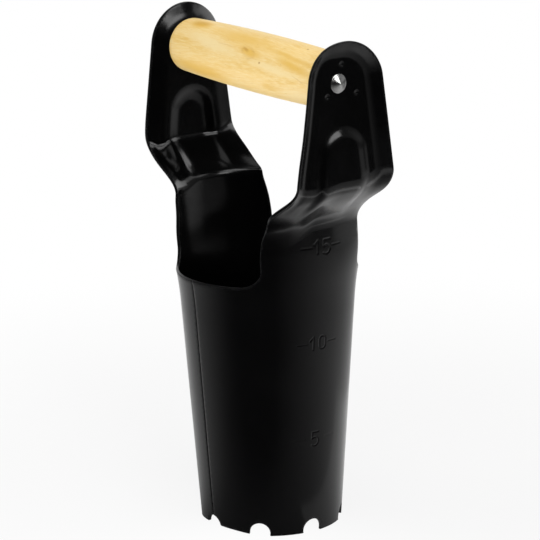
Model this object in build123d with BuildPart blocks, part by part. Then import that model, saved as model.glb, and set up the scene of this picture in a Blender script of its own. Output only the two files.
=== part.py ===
from build123d import *
import os
from math import acos, atan, atan2, cos, degrees, hypot, pi, sin, sqrt, tan

# Hand bulb planter in millimetres: Z up the tube, X along the handle, Z = 0 at the cutting edge

# Rolled sheet: a cone that swells into a straight band
sheet = 1.5
edge_diameter = 70.8
band_diameter = 94.0
swell = 2.7
swell_height = 14.0
rim_height = 130.5
band_height = 28.0

# Panels that the cut-outs leave of the band, one under each ear
panel_half_width = 28.4
rim_panel_half_width = 30.4
cut_out_corner = 7.0

# Teeth: half-round notches in the cutting edge
notch_count = 8
notch_radius = 5.3
notch_centre_height = 1.5

# Open butt seam down the front
seam_gap_at_edge = 1.0
seam_gap_at_rim = 0.5

# Rise of the cutting edge at the seam, from the first notch on either side of it
seam_rise = 2.5

# Ears: flat tongues with a border that leans outwards
shoulder_height = 30.5
shoulder_sections = 7
ear_foot_half_width = 27.0
ear_radius = 21.2
lip_width = 7.2
lip_rise = 3.9

# Stiffening emboss, pressed outwards across the bend of each ear
emboss_centre_rise = 10.0
emboss_margin = 5.3
emboss_rise = 2.0
emboss_ramp = 3.5

# Handle, which sets how far apart the ears are, and the rod that is riveted through it
handle_length = 127.6
handle_rise = 44.8
handle_end_diameter = 27.2
handle_middle_diameter = 30.0
handle_end_round = 1.2
rod_diameter = 5.0
rod_clearance = 0.1
head_diameter = 9.5
head_height = 2.6
set_head_diameter = 9.0
set_head_height = 2.2

# Prongs punched through each ear into the end grain, one above the rod and the others below
prong_count = 3
prong_margin = 4.0
prong_diameter = 2.4
prong_tip_diameter = 0.5
prong_length = 2.0
prong_clearance = 0.05
top_angle = 90.0
dimple_depth = 1.0

# Depth scale in centimetres, stamped into the outside of the tube under one ear
mark_heights = {"5": 50.0, "10": 100.0, "15": 150.0}
mark_depth = 0.3
digit_height = 7.0
digit_width = 3.8
digit_pitch = 5.4
stroke_width = 0.8
tick_length = 6.0
tick_start = 7.0

# Sizes that follow from those above
edge_radius = edge_diameter / 2
band_radius = band_diameter / 2
cone_top_radius = band_radius - swell
band_bore = band_radius - sheet
swell_bottom = rim_height - swell_height / 2
swell_top = rim_height + swell_height / 2
band_top = rim_height + band_height
ear_base = band_top + shoulder_height
handle_height = ear_base + handle_rise
panel_edge = sqrt(band_radius**2 - panel_half_width**2)
panel_half_bore = sqrt(band_bore**2 - panel_edge**2)
rim_panel_edge = sqrt(band_radius**2 - rim_panel_half_width**2)
rise_start = edge_radius * cos(2 * pi / notch_count)
rise_slope = seam_rise / (edge_radius - rise_start)
ear_inside = handle_length / 2
ear_offset = ear_inside + sheet
ear_spread = hypot(ear_foot_half_width, handle_rise)
ear_flare = acos(ear_radius / ear_spread) - atan2(handle_rise, ear_foot_half_width)
lip_slope = lip_width / lip_rise
lip_angle = degrees(atan(lip_slope))
floor_radius = ear_radius - lip_width
emboss_inset = lip_width + emboss_margin
emboss_centre_height = ear_base + emboss_centre_rise
emboss_radius = ear_radius - emboss_inset + (handle_height - emboss_centre_height) * sin(ear_flare)
emboss_angle = degrees(atan(emboss_ramp / emboss_rise))
tail_height = band_top
prong_circle_radius = floor_radius - prong_margin
bore_radius = rod_diameter / 2 + rod_clearance
head_tip = ear_offset + head_height
set_head_tip = -ear_offset - set_head_height
handle_axis = Axis((0, 0, handle_height), (1, 0, 0))
handle_plane = Plane(origin=(0, 0, handle_height), x_dir=(1, 0, 0), z_dir=(0, -1, 0))
reach = band_diameter

os.makedirs("parts", exist_ok=True)


def wall_section(depth):
    """Half section of the rolled wall from its outside to a depth, as a face in the current sketch."""
    outside = [
        (edge_radius, 0),
        (cone_top_radius, swell_bottom),
        (band_radius, swell_top),
        (band_radius, band_top),
    ]
    inside = [(radius - depth, height) for radius, height in outside]
    with BuildLine() as outline:
        Polyline(*outside, *inside[::-1], close=True)
    make_face(outline.edges())


def ear_half_width(inset, height):
    """Half width of the ear at a height below the rod, measured to its outline moved inwards by inset."""
    return (ear_radius - inset) / cos(ear_flare) + (handle_height - height) * tan(ear_flare)


def tongue(radius, centre_height):
    """Round-topped tongue whose sides spread downwards with the ear's, as a face in the current sketch."""
    side_y = radius * cos(ear_flare)
    side_z = centre_height + radius * sin(ear_flare)
    tail_y = radius / cos(ear_flare) + (centre_height - tail_height) * tan(ear_flare)
    with BuildLine() as outline:
        Polyline((side_y, side_z), (tail_y, tail_height), (-tail_y, tail_height), (-side_y, side_z))
        ThreePointArc((-side_y, side_z), (0, centre_height + radius), (side_y, side_z))
    make_face(outline.edges())


def ease(share):
    """Smooth step from 0 to 1."""
    return share * share * (3 - 2 * share)


def shoulder_points(share, radius, flat, corner):
    """Points across one face of the shoulder: every bend from edge to edge, and each strip's middle."""
    turn = ease(share)
    height = band_top + shoulder_height * share
    floor = ear_half_width(lip_width, ear_base)
    foot = ear_half_width(emboss_inset, ear_base)
    top = ear_half_width(emboss_inset + emboss_ramp, ear_base)
    half = [(corner, lip_rise * turn), (floor, 0), (foot, 0), (top, emboss_rise * turn)]
    bends = [(-y, rise) for y, rise in half] + half[::-1]
    stations = [bends[0]]
    for (y, rise), (next_y, next_rise) in zip(bends, bends[1:]):
        stations += [((y + next_y) / 2, (rise + next_rise) / 2), (next_y, next_rise)]
    return [((1 - turn) * sqrt(radius**2 - y**2) + turn * flat + rise, y, height) for y, rise in stations]


def strips(points, straight):
    """Edges through a face's points: arcs while the panel is still curved, lines once it is flat."""
    triples = [points[start : start + 3] for start in range(0, len(points) - 1, 2)]
    if straight:
        return [Line(begin, end) for begin, middle, end in triples]
    return [ThreePointArc(begin, middle, end) for begin, middle, end in triples]


def shoulder_section(number):
    """Level section of the shoulder, counted from the band up to the foot of the ear."""
    share = number / (shoulder_sections - 1)
    straight = number == shoulder_sections - 1
    corner = panel_half_width + (ear_foot_half_width - panel_half_width) * share
    corner_bore = panel_half_bore + (ear_foot_half_width - panel_half_bore) * share
    outside = shoulder_points(share, band_radius, ear_offset, corner)
    inside = shoulder_points(share, band_bore, ear_inside, corner_bore)
    edges = strips(outside, straight) + [Line(outside[-1], inside[-1])]
    edges += strips(inside[::-1], straight) + [Line(inside[0], outside[0])]
    return make_face(edges)


def prong_ring(offset, diameter, length, mode):
    """Cones round the rod that point towards the handle from a plane across it."""
    with Locations(Plane.YZ.offset(offset)):
        with Locations((0, handle_height)):
            with PolarLocations(prong_circle_radius, prong_count, start_angle=top_angle):
                Cone(
                    diameter / 2,
                    prong_tip_diameter / 2,
                    length,
                    rotation=(180, 0, 0),
                    align=(Align.CENTER, Align.CENTER, Align.MIN),
                    mode=mode,
                )


def digit_strokes(digit, middle, height):
    """Pen strokes of one digit of the scale, centred at a place across the tube and a height."""
    left = middle - digit_width / 2
    right = middle + digit_width / 2
    top = height + digit_height / 2
    bottom = height - digit_height / 2
    bowl = digit_width / 2
    with BuildLine() as strokes:
        if digit == "0":
            Line((left, bottom + bowl), (left, top - bowl))
            ThreePointArc((left, top - bowl), (middle, top), (right, top - bowl))
            Line((right, top - bowl), (right, bottom + bowl))
            ThreePointArc((right, bottom + bowl), (middle, bottom), (left, bottom + bowl))
        elif digit == "1":
            Polyline((left, top - bowl), (middle, top), (middle, bottom))
        else:
            Polyline((right, top), (left, top), (left, height))
            ThreePointArc((left, height), (right, (height + bottom) / 2), (left, bottom))
    trace(strokes.edges(), line_width=stroke_width)


# Shoulder: the band's arc opens out into the flat ear with its border and emboss
shoulder_faces = [shoulder_section(number) for number in range(shoulder_sections)]
with BuildPart() as shoulder:
    loft(shoulder_faces)

# Ear: a shallow tray open to the outside, with the emboss and the ring of prongs round the rivet hole
with BuildPart() as ear:
    with BuildSketch(Plane.YZ.offset(ear_inside)):
        tongue(floor_radius, handle_height)
    extrude(amount=lip_rise + 2 * sheet, taper=-lip_angle)
    with BuildSketch(Plane.YZ.offset(ear_offset)):
        tongue(floor_radius, handle_height)
    extrude(amount=lip_rise + sheet, taper=-lip_angle, mode=Mode.SUBTRACT)
    with BuildSketch(Plane.YZ):
        tongue(ear_radius, handle_height)
    extrude(amount=2 * ear_offset, mode=Mode.INTERSECT)
    with BuildSketch(Plane.YZ.offset(ear_offset)):
        tongue(emboss_radius, emboss_centre_height)
    extrude(amount=emboss_rise, taper=emboss_angle)
    with BuildSketch(Plane.YZ.offset(ear_inside)):
        tongue(emboss_radius, emboss_centre_height)
    extrude(amount=emboss_rise, taper=emboss_angle, mode=Mode.SUBTRACT)
    split(bisect_by=Plane.XY.offset(ear_base), keep=Keep.TOP)
    prong_ring(ear_inside, prong_diameter, prong_length, Mode.ADD)
    prong_ring(ear_offset, prong_diameter, dimple_depth, Mode.SUBTRACT)
    with BuildSketch(Plane.YZ.offset(ear_inside)):
        with Locations((0, handle_height)):
            Circle(bore_radius)
    extrude(amount=sheet, mode=Mode.SUBTRACT)

# Depth marks: digits between two ticks, kept only where they lie in the outer skin of the tube
with BuildPart() as marks:
    with BuildSketch(Plane.YZ):
        for digits, height in mark_heights.items():
            for place, digit in enumerate(digits):
                digit_strokes(digit, (place - (len(digits) - 1) / 2) * digit_pitch, height)
            for side in (-1, 1):
                with Locations((side * (tick_start + tick_length / 2), height)):
                    Rectangle(tick_length, stroke_width)
    extrude(amount=reach)
    with BuildSketch(Plane.XZ):
        wall_section(mark_depth)
    revolve(axis=Axis.Z, mode=Mode.INTERSECT)

with BuildPart() as blade:
    with BuildSketch(Plane.XZ):
        wall_section(sheet)
    revolve(axis=Axis.Z)
    # Round-cornered cut-outs at the front and the back
    with BuildSketch(Plane.XZ) as cut_out:
        with BuildLine():
            Polyline(
                (-panel_edge, band_top),
                (-rim_panel_edge, rim_height),
                (rim_panel_edge, rim_height),
                (panel_edge, band_top),
                close=True,
            )
        make_face()
        fillet(cut_out.vertices().group_by(Axis.Y)[0], cut_out_corner)
    extrude(amount=reach, both=True, mode=Mode.SUBTRACT)
    for piece in (shoulder.part, ear.part):
        add(piece)
        mirror(piece, about=Plane.YZ)
    # Seam at the front, then the edge that rises towards it, then the teeth
    with BuildSketch(Plane.XZ):
        with BuildLine():
            Polyline(
                (-seam_gap_at_edge / 2, 0),
                (seam_gap_at_edge / 2, 0),
                (seam_gap_at_rim / 2, swell_top),
                (-seam_gap_at_rim / 2, swell_top),
                close=True,
            )
        make_face()
    extrude(amount=reach, mode=Mode.SUBTRACT)
    split(bisect_by=Plane(origin=(0, -rise_start, 0), z_dir=(0, rise_slope, 1)), keep=Keep.TOP)
    with PolarLocations(edge_radius, notch_count):
        with Locations((0, 0, notch_centre_height)):
            Cylinder(notch_radius, edge_radius, rotation=(0, 90, 0), mode=Mode.SUBTRACT)
    add(marks.part, mode=Mode.SUBTRACT)
blade.part.label = "blade"
export_step(blade.part, "parts/blade.step")

# Turned handle, barrel-shaped, with a bore for the rod and pits where the prongs bite
with BuildPart() as pits:
    prong_ring(
        ear_inside,
        prong_diameter + 2 * prong_clearance,
        prong_length + prong_clearance,
        Mode.ADD,
    )
    mirror(about=Plane.YZ)

with BuildPart() as handle:
    with BuildSketch(handle_plane) as barrel:
        with BuildLine():
            Polyline(
                (-ear_inside, handle_end_diameter / 2),
                (-ear_inside, bore_radius),
                (ear_inside, bore_radius),
                (ear_inside, handle_end_diameter / 2),
            )
            ThreePointArc(
                (ear_inside, handle_end_diameter / 2),
                (0, handle_middle_diameter / 2),
                (-ear_inside, handle_end_diameter / 2),
            )
        make_face()
        fillet(barrel.vertices().group_by(Axis.Y)[-1], handle_end_round)
    revolve(axis=handle_axis)
    add(pits.part, mode=Mode.SUBTRACT)
handle.part.label = "handle"
export_step(handle.part, "parts/handle.step")

# Rivet: a rod through ears and handle, with a formed head and a set head
with BuildPart() as handle_rivet:
    with BuildSketch(handle_plane):
        with BuildLine():
            TangentArc((head_tip, 0), (ear_offset, head_diameter / 2), tangent=(0, 1))
            Polyline(
                (ear_offset, head_diameter / 2),
                (ear_offset, rod_diameter / 2),
                (-ear_offset, rod_diameter / 2),
                (-ear_offset, set_head_diameter / 2),
            )
            TangentArc((set_head_tip, 0), (-ear_offset, set_head_diameter / 2), tangent=(0, 1))
            Line((set_head_tip, 0), (head_tip, 0))
        make_face()
    revolve(axis=handle_axis)
handle_rivet.part.label = "handle_rivet"
export_step(handle_rivet.part, "parts/handle_rivet.step")
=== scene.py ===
"""Hand bulb planter: a rolled, toothed black tube whose two ears carry a turned wooden handle on a rivet."""

import math

import bpy
import numpy as np
from bpy.props import FloatProperty, FloatVectorProperty, IntProperty, PointerProperty
from bpy.types import Operator, Panel, PropertyGroup
from mathutils import Matrix, Vector, geometry


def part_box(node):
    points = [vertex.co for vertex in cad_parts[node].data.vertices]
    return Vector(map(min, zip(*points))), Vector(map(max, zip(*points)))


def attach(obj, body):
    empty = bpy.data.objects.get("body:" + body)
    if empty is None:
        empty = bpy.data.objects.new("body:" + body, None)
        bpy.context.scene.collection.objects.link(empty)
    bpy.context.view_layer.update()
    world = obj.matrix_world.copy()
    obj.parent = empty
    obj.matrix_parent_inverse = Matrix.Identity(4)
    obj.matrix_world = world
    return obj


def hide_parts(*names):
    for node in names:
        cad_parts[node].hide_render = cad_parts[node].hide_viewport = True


bl_info = {
    "name": "Bulb planter",
    "version": (1, 0, 0),
    "blender": (4, 5, 0),
    "location": "View3D > Sidebar > Planter",
    "description": "Builds a hand bulb planter and its photo stage round the packed frame",
    "category": "Object",
}

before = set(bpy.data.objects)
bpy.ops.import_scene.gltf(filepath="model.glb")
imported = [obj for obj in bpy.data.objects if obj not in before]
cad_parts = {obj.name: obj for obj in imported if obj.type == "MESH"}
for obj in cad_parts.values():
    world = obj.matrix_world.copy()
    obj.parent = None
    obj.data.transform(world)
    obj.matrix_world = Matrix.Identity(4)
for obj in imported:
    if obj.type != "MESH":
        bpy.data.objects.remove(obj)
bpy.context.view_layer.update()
HANDLE_LOW, HANDLE_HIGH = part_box("handle")
RIVET_LOW, RIVET_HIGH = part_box("handle_rivet")
BLADE_LOW, BLADE_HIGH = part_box("blade")
ROD_HEIGHT = (HANDLE_LOW[2] + HANDLE_HIGH[2]) / 2
SHEET = 0.0015
TIP_SETBACK = 0.0005
IMAGE_PIXELS = 540


def length(name, text, value):
    """Property for a size in metres."""
    metres = {"unit": "LENGTH", "subtype": "DISTANCE", "precision": 5}
    return FloatProperty(name=name, description=text, default=value, **metres)


def angle(name, text, degrees):
    """Property for an angle."""
    turn = math.radians(degrees)
    return FloatProperty(name=name, description=text, default=turn, unit="ROTATION", subtype="ANGLE")


def colour(name, text, value):
    """Property for a linear colour."""
    limits = {"size": 3, "min": 0, "max": 1}
    return FloatVectorProperty(name=name, description=text, default=value, subtype="COLOR", **limits)


def pixels(name, text, value):
    """Property for a plain count of pixels."""
    return FloatProperty(name=name, description=text, default=value)


def watts(name, text, value):
    """Property for the power of a lamp."""
    return FloatProperty(name=name, description=text, default=value, unit="POWER")


class TubeSizes(PropertyGroup):
    """Sizes of the rolled tube, its teeth and its seam."""

    sheet: length("Sheet", "Thickness of the rolled sheet", SHEET)
    edge_round: length("Edge round", "Rounding of the cut edges under the paint", 0.00026)
    edge_radius: length("Edge radius", "Outside radius at the cutting edge", 0.0354)
    cone_top_radius: length("Cone top radius", "Outside radius where the swell begins", 0.0443)
    band_radius: length("Band radius", "Outside radius of the straight band", 0.0474)
    swell_bottom: length("Swell bottom", "Height where the swell begins", 0.1235)
    swell_top: length("Swell top", "Height where the swell ends", 0.1402)
    swell_bend: length("Swell bend", "Half length of the soft bends of the swell", 0.009)
    rim_height: length("Rim height", "Height of the bottom of the cut-outs", 0.1305)
    band_top: length("Band top", "Height where the band ends and the shoulders begin", 0.1585)
    rim_panel_edge: length("Rim panel edge", "Panel edge's distance from the middle, at the rim", 0.03584)
    panel_edge: length("Panel edge", "The same distance at the band top", 0.03795)
    cut_out_corner: length("Cut-out corner", "Corner radius of the cut-outs", 0.0095)
    notch_radius: length("Notch radius", "Radius of the notches between the teeth", 0.0053)
    notch_height: length("Notch height", "Height of the notches' centres", 0.0015)
    seam_gap: length("Seam gap", "Open gap of the seam at the cutting edge", 0.0006)
    seam_gap_top: length("Seam gap at the top", "Open gap of the seam at the top of the swell", 0.0001)
    seam_rise: length("Seam rise", "Height of the cutting edge at the seam", 0.0025)
    mark_depth: length("Mark depth", "Depth of the stamped scale", 0.00024)
    stroke: length("Stroke", "Width of the scale's strokes", 0.0008)


class EarSizes(PropertyGroup):
    """Sizes of the ears and of the shoulders under them."""

    flat: length("Ear offset", "Distance of the ear's outer face from the middle", HANDLE_HIGH[0] + SHEET)
    rod_height: length("Rod height", "Height of the rivet", ROD_HEIGHT)
    radius: length("Ear radius", "Radius of the ear's round top", BLADE_HIGH[2] - ROD_HEIGHT)
    flare: angle("Flare", "Angle at which the ear's sides spread downwards", 7.17)
    panel_half_width: length("Panel half width", "Half width of the panel at the band top", 0.0284)
    lip_width: length("Lip width", "Width of the border that leans outwards", 0.0072)
    lip_rise: length("Lip rise", "How far the border leans outwards", BLADE_HIGH[0] - HANDLE_HIGH[0] - SHEET)
    lip_bend: length("Lip bend", "Half length of the border's soft bend", 0.0024)
    near_low: length("Scale side lower bend", "Height of the lower bend above the scale", 0.1627)
    near_high: length("Scale side upper bend", "Height of the upper bend above the scale", 0.1822)
    far_low: length("Plain side lower bend", "Height of the lower bend of the other shoulder", 0.1688)
    far_high: length("Plain side upper bend", "Height of the upper bend of the other shoulder", 0.1852)
    far_sink: length("Plain side sink", "How far that upper bend sinks towards the seam's side", 0.006)
    far_soft: length("Plain side soft bend", "Half length of the sunk end of that upper bend", 0.009)
    far_waist: length("Plain side waist", "How far the back edge of that shoulder curves in", 0.0028)
    far_low_soft: length("Plain side low bend", "Half length added to its lower bend at the seam", 0.0045)
    near_sink: length("Scale side sink", "How far its upper bend sinks before the seam's side", 0.002)
    near_low_sink: length("Scale side low sink", "How far its lower bend sinks towards the seam", 0.005)
    near_low_soft: length("Scale side low bend", "Half length of its lower bend at the seam's side", 0.0062)
    near_high_soft: length("Scale side high bend", "Half length of its upper bend at the back edge", 0.0078)
    near_soft: length("Scale side soft bends", "Half length of that shoulder's bends in its middle", 0.0042)
    near_set: length("Scale side set", "How far the scale side's ear stands out towards the seam", 0.0008)
    low_bend: length("Lower bend", "Half length of the plain shoulder's lower bend in its middle", 0.0005)
    low_bend_edge: length("Bends at the edge", "Half length of the scale side's bends at its sides", 0.005)
    high_bend: length("Upper bend", "Half length of the plain shoulder's upper bend in its middle", 0.002)
    high_bend_edge: length("Upper bend at the back", "Half length of that bend at the back edge", 0.0062)
    emboss_height: length("Emboss height", "Height of the centre of the emboss's round top", 0.199)
    emboss_radius: length("Emboss radius", "Radius of the emboss's round top", 0.01304)
    emboss_foot: length("Emboss foot", "Half width of the emboss across the shoulder", 0.0144)
    emboss_rise: length("Emboss rise", "How far the emboss stands out", 0.002)
    emboss_ramp: length("Emboss ramp", "Width of the emboss's sloping border", 0.0035)
    emboss_bend: length("Emboss bend", "Half length of the emboss's bends", 0.0016)
    near_emboss_bend: length("Scale side emboss bend", "Half length of its inner bend at the back", 0.0032)
    far_emboss_bend: length("Plain side emboss bend", "Half length of that emboss's inner bend", 0.0045)
    far_lip_bend: length("Plain side lip bend", "Half length of that border's bend on its back edge", 0.0052)
    dimple_ring: length("Dimple ring", "Radius of the ring of punched dimples", 0.01)
    dimple_drop: length("Dimple drop", "How far the ring's centre lies under the rivet", 0.0004)
    dimple_radius: length("Dimple radius", "Radius of one punched dimple", 0.0015)
    dimple_depth: length("Dimple depth", "Depth of one punched dimple", 0.0005)
    hole_radius: length("Hole radius", "Radius of the hole for the rivet", 0.0026)


class HandleSizes(PropertyGroup):
    """Sizes of the turned handle."""

    half_length: length("Half length", "Half the handle's length", HANDLE_HIGH[0])
    middle_radius: length("Middle radius", "Radius in the middle of the barrel", HANDLE_HIGH[1])
    end_radius: length("End radius", "Radius at the ends", 0.0136)
    end_round: length("End round", "Rounding of the ends", 0.0012)
    bore: length("Bore", "Radius of the bore", 0.0026)


class RivetSizes(PropertyGroup):
    """Sizes of the rivet."""

    rod_radius: length("Rod radius", "Radius of the rod", 0.0025)
    head_radius: length("Head radius", "Radius of the blunt head", 0.00475)
    head_shift: length("Head shift", "How far the head lies off the rod's axis, across", -0.0021)
    head_lift: length("Head lift", "How far the head lies off the rod's axis, upwards", 0.0004)
    head_tip: length("Head tip", "Distance of the head's tip from the middle", RIVET_HIGH[0] - TIP_SETBACK)
    set_radius: length("Set head radius", "Radius of the set head", 0.0045)
    set_tip: length("Set head tip", "Distance of the set head's tip from the middle", -RIVET_LOW[0])


class Finishes(PropertyGroup):
    """Colours of the three finishes."""

    paint: colour("Paint", "Black gloss paint", (0.0005, 0.0005, 0.00055))
    paint_thin: colour("Thin paint", "Paint where it runs thin on the edges", (0.003, 0.003, 0.0032))
    wood: colour("Wood", "Plain wood", (0.84, 0.6, 0.24))
    # Pale wood colour, which also paints the highlight stripe along the handle's middle.
    wood_pale_and_highlight: colour("Pale wood", "Early wood", (0.88, 0.7, 0.37))
    wood_amber: colour("Amber wood", "Late wood and amber streaks", (0.74, 0.45, 0.075))
    knot: colour("Knot", "Knot in the wood", (0.44, 0.19, 0.03))
    steel: colour("Steel", "Bright rivet", (0.66, 0.66, 0.65))
    steel_worn: colour("Worn steel", "Scuffed edges of the rivet", (0.42, 0.42, 0.41))


class StageSizes(PropertyGroup):
    """Camera, floor and lamps."""

    target: length("Target height", "Height that the camera looks at", 0.13)
    distance: length("Distance", "Distance of the camera from its target", 1.8)
    azimuth: angle("Azimuth", "Turn of the camera round the planter", 55.0)
    elevation: angle("Elevation", "Height of the camera as an angle", 14.612)
    yaw: angle("Yaw", "Turn of the camera to its right", 0.045)
    pitch: angle("Pitch", "Turn of the camera upwards", -0.05)
    roll: angle("Roll", "Lean of the camera", -1.074)
    focal_pixels: pixels("Focal length", "Focal length in pixels of the square picture", 3597.97)
    dark_turn: angle("Dark turn", "Turn of the room's darkest side from the camera to its left", 15.5)
    floor_radius: length("Floor radius", "Radius of the floor", 0.6)
    key_power: watts("Key power", "Power of the softbox above the camera", 4.1)
    fill_power: watts("Fill power", "Power of the wide fill lamps", 13.2)


class PlanterSettings(PropertyGroup):
    """All sizes and colours of the planter."""

    tube: PointerProperty(type=TubeSizes)
    ear: PointerProperty(type=EarSizes)
    handle: PointerProperty(type=HandleSizes)
    rivet: PointerProperty(type=RivetSizes)
    finish: PointerProperty(type=Finishes)
    stage: PointerProperty(type=StageSizes)
    segments: IntProperty(name="Segments", description="Faces round the handle", default=96, min=24, max=256)


def settings():
    """The planter's settings in this scene."""
    return bpy.context.scene.planter


# Shape of the sheet. The near side, at +x, carries the scale; the seam is at -y and the back at +y.
# Parts across the sheet: where a soft change starts, and the length over which it runs

SEAM_HALF = (0.0, 0.014)
NEAR_SEAM_PART = (0.004, 0.014)
NEAR_SEAM_CORNER = (-0.028, 0.008)
NEAR_BACK_PART = (0.008, 0.014)
NEAR_EMBOSS_BACK = (0.002, 0.008)
FAR_SEAM_PART = (0.014, 0.01)
FAR_LOW_PART = (0.008, 0.012)
FAR_BACK_HALF = (0.0, 0.012)
SHOULDER_SIDES = (0.015, 0.012)

# What the press left standing aside: soft steps up and down over the height, each a height and a run

ASIDE_HALF_WIDTH = 0.024
NEAR_SEAM_SET = ((0.133, 0.02), (0.236, 0.06))
NEAR_EAR_SET = (0.0006, (0.192, 0.02), (0.252, 0.02))
NEAR_BACK_SET = ((0.168, 0.014), (0.256, 0.02))
NEAR_BACK_SHARE = 1.1
FAR_SEAM_SET, FAR_SEAM_STEP = 0.0006, (0.18, 0.015)
FAR_BACK_SET, FAR_BACK_STEP = 0.001, (0.222, 0.02)

# Humps of the same edges: middle height, half height and reach

NEAR_SEAM_HUMP = (0.17, 0.0068, -0.0056)
NEAR_BACK_HUMP = (0.171, 0.004, -0.0013)
FAR_SEAM_HUMPS = ((0.175, 0.007, 0.0008), (0.183, 0.0075, 0.0014), (0.162, 0.006, -0.0007))
FAR_WAIST = (0.169, 0.0085)

EAR_FOOT_RISE = 0.0051
NEAR_LIP_NARROWING = 0.4
NEAR_EMBOSS_FADE, FAR_EMBOSS_FADE = 0.7, 0.3


def bend(run, half):
    """Zero before the bend, the run itself after it, with a soft bend between."""
    soft = (run + half) ** 2 / (4 * half)
    return np.where(run < -half, 0.0, np.where(run > half, run, soft))


def smooth(value):
    """Smooth step from 0 to 1."""
    held = np.clip(value, 0.0, 1.0)
    return held * held * (3 - 2 * held)


def rise(value, start, run):
    """Smooth step that leaves 0 at start and is 1 a run further on."""
    return smooth((value - start) / run)


def fall(value, end, run):
    """Smooth step that leaves 1 a run before end and is 0 there."""
    return smooth((end - value) / run)


def shelf(z, amount, upward, downward):
    """An amount that comes in with one soft step and goes out with another."""
    return amount * rise(z, *upward) * fall(z, *downward)


def hump(z, middle, half, height):
    """Soft hump at a height."""
    return height * np.exp(-(((z - middle) / half) ** 2))


def between(first, second, part):
    """Value that lies a part of the way from the first to the second."""
    return first + (second - first) * part


def tube_radius(z, tube):
    """Outside radius of the rolled tube at a height."""
    cone = (tube.cone_top_radius - tube.edge_radius) / tube.swell_bottom
    swell = (tube.band_radius - tube.cone_top_radius) / (tube.swell_top - tube.swell_bottom)
    into = (swell - cone) * bend(z - tube.swell_bottom, tube.swell_bend)
    out_of = swell * bend(z - tube.swell_top, tube.swell_bend)
    return tube.edge_radius + cone * z + into - out_of


def radius_at(z, tube):
    """Outside radius of the rolled tube at one height, as a plain number."""
    return float(tube_radius(np.array(z), tube))


def shoulder_bends(side, y, ear):
    """Heights of the two bends of a shoulder, which sink towards the seam's side."""
    if side > 0:
        low = ear.near_low - ear.near_low_sink * rise(-y, *NEAR_SEAM_PART)
        return low, ear.near_high - ear.near_sink * rise(-y, *SEAM_HALF) * rise(y, *NEAR_SEAM_CORNER)
    return ear.far_low, ear.far_high - ear.far_sink * rise(-y, *FAR_SEAM_PART)


def bend_lengths(side, y, ear):
    """Half lengths of the two bends of a shoulder."""
    edge = rise(np.abs(y), *SHOULDER_SIDES)
    if side > 0:
        plain = between(ear.near_soft, ear.low_bend_edge, edge)
        low = between(plain, ear.near_low_soft, rise(-y, *NEAR_SEAM_PART))
        return low, between(plain, ear.near_high_soft, rise(y, *NEAR_BACK_PART))
    low = ear.low_bend + ear.far_low_soft * rise(-y, *FAR_LOW_PART)
    return low, between(ear.high_bend, np.where(y < 0, ear.far_soft, ear.high_bend_edge), edge)


def ear_foot(side, ear):
    """Height where the ear's straight side ends."""
    return (ear.near_high if side > 0 else ear.far_high) + EAR_FOOT_RISE


def side_line(inset, z, ear):
    """Half width between the ear's straight sides, moved inwards by inset."""
    return (ear.radius - inset) / math.cos(ear.flare) + (ear.rod_height - z) * math.tan(ear.flare)


def panel_half_width(z, side, tube, ear):
    """Half width of the shoulder at a height below the ear's foot."""
    foot = ear_foot(side, ear)
    part = np.clip((z - tube.band_top) / (foot - tube.band_top), 0, 1)
    return between(ear.panel_half_width, side_line(0.0, foot, ear), part)


def lip_share(y, z, side, tube, ear):
    """0 on the ear's flat, 1 on its edge."""
    foot = ear_foot(side, ear)
    across = np.abs(y)
    narrow = 1 - NEAR_LIP_NARROWING * rise(-y, *SEAM_HALF) if side > 0 else 1.0
    width = ear.lip_width * narrow
    tangent = ear.rod_height + across * math.tan(ear.flare)
    round_inset = ear.radius - np.hypot(y, z - ear.rod_height)
    side_inset = (side_line(0.0, z, ear) - across) * math.cos(ear.flare)
    inset = np.where(z > tangent, round_inset, side_inset)
    on_ear = (width - inset) / width
    floor = side_line(width, foot, ear)
    on_shoulder = (across - floor) / (panel_half_width(z, side, tube, ear) - floor)
    soft = ear.lip_bend if side > 0 else between(ear.lip_bend, ear.far_lip_bend, rise(y, *FAR_BACK_HALF))
    return narrow * bend(np.where(z > foot, on_ear, on_shoulder), soft / ear.lip_width)


def emboss_share(y, z, side, ear):
    """0 outside the emboss, 1 on its raised face."""
    across = np.abs(y)
    tangent = ear.emboss_height + across * math.tan(ear.flare)
    round_inset = ear.emboss_radius - np.hypot(y, z - ear.emboss_height)
    line = ear.emboss_radius / math.cos(ear.flare) + (ear.emboss_height - z) * math.tan(ear.flare)
    side_inset = (np.minimum(line, ear.emboss_foot) - across) * math.cos(ear.flare)
    inset = np.where(z > tangent, round_inset, side_inset)
    inner_bend = ear.far_emboss_bend
    if side > 0:
        inner_bend = between(ear.emboss_bend, ear.near_emboss_bend, rise(y, *NEAR_EMBOSS_BACK))
    return (bend(inset, ear.emboss_bend) - bend(inset - ear.emboss_ramp, inner_bend)) / ear.emboss_ramp


def pressed_aside(y, z, side, ear):
    """How far the press left a shoulder or ear standing off to the side."""
    if side > 0:
        seam_side = shelf(z, -ear.near_set, *NEAR_SEAM_SET) + hump(z, *NEAR_SEAM_HUMP)
        seam_side = seam_side + shelf(z, *NEAR_EAR_SET)
        back_side = shelf(z, NEAR_BACK_SHARE * ear.near_set, *NEAR_BACK_SET) + hump(z, *NEAR_BACK_HUMP)
    else:
        seam_side = FAR_SEAM_SET * rise(z, *FAR_SEAM_STEP)
        for place in FAR_SEAM_HUMPS:
            seam_side = seam_side + hump(z, *place)
        back_side = -hump(z, *FAR_WAIST, ear.far_waist) - FAR_BACK_SET * rise(z, *FAR_BACK_STEP)
    return np.clip(np.abs(y) / ASIDE_HALF_WIDTH, 0, 1) * np.where(y < 0, seam_side, back_side)


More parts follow.
